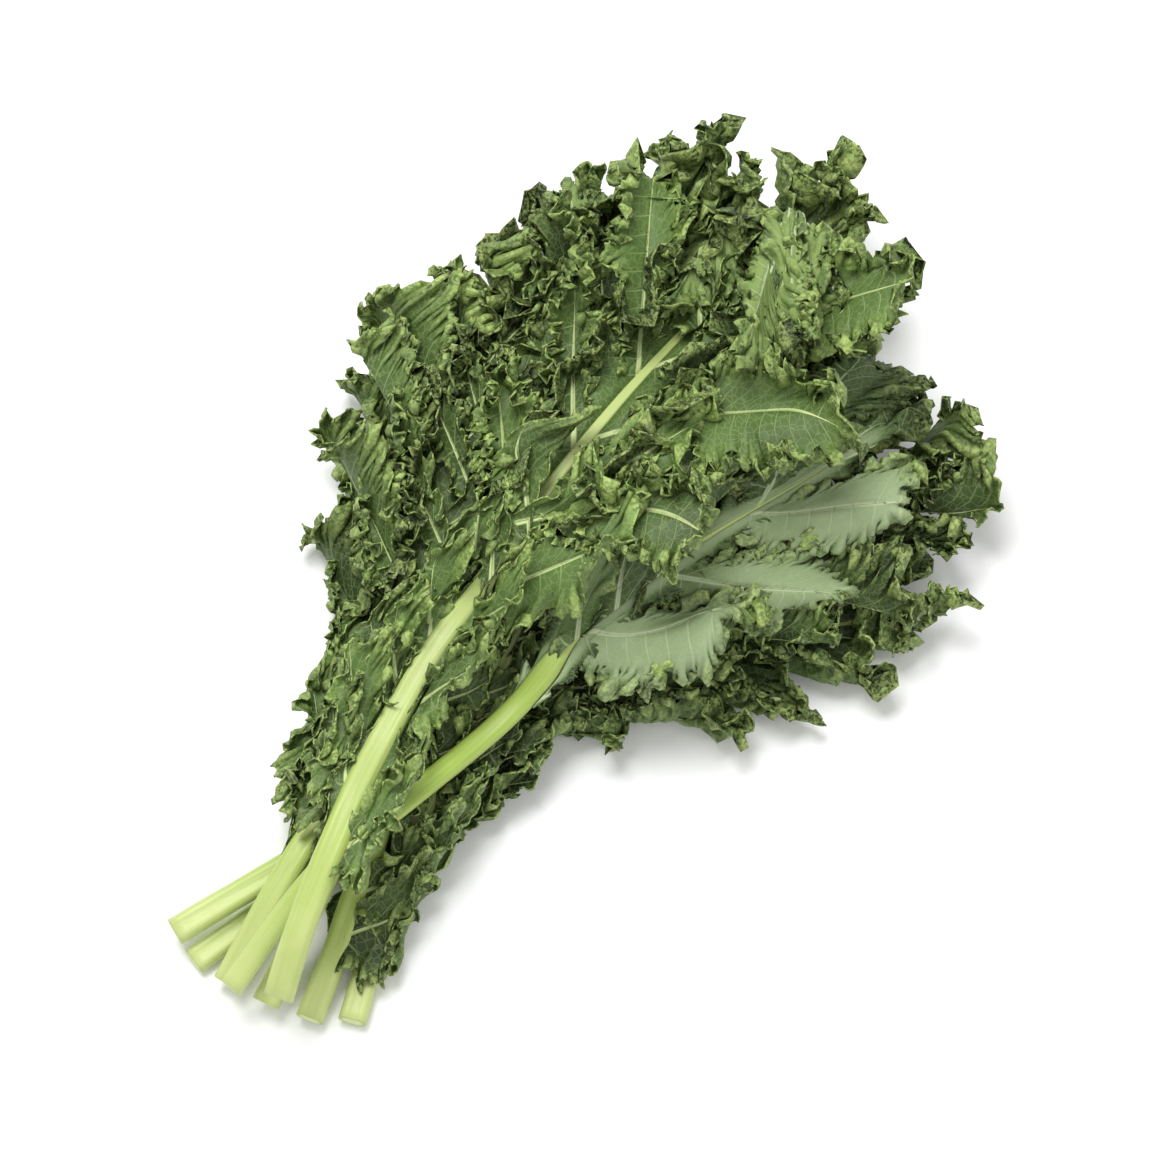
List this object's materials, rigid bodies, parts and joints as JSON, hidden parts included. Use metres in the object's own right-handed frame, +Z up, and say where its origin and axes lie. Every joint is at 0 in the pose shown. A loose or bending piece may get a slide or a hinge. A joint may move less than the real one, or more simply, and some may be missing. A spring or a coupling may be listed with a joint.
{
  "type": "kale bunch",
  "caption": "Bunch of curly green kale lying on its side: pale stalks cross at a narrow waist and fan out into dark leaves with frilled edges.",
  "frame": {"origin": "on the table, under the middle of the bunch's bounding box", "axes": "+X from the cut stalk ends towards the leaf tips, +Y to the left as seen from the stalks, +Z up from the table"},
  "size_m": [0.4132, 0.249, 0.1163],
  "materials": {
    "leaf_stalk": "satin",
    "leaf_blade": "matte"
  },
  "bodies": {
    "root": {"right_low_leaf_stalk": "leaf_stalk", "right_low_leaf_blade": "leaf_blade", "right_leaf_stalk": "leaf_stalk", "right_leaf_blade": "leaf_blade", "left_leaf_stalk": "leaf_stalk", "left_leaf_blade": "leaf_blade", "far_right_leaf_stalk": "leaf_stalk", "far_right_leaf_blade": "leaf_blade", "far_leaf_stalk": "leaf_stalk", "far_leaf_blade": "leaf_blade", "left_top_leaf_stalk": "leaf_stalk", "left_top_leaf_blade": "leaf_blade", "turned_leaf_stalk": "leaf_stalk", "turned_leaf_blade": "leaf_blade", "top_leaf_stalk": "leaf_stalk", "top_leaf_blade": "leaf_blade"}
  },
  "joints": []
}
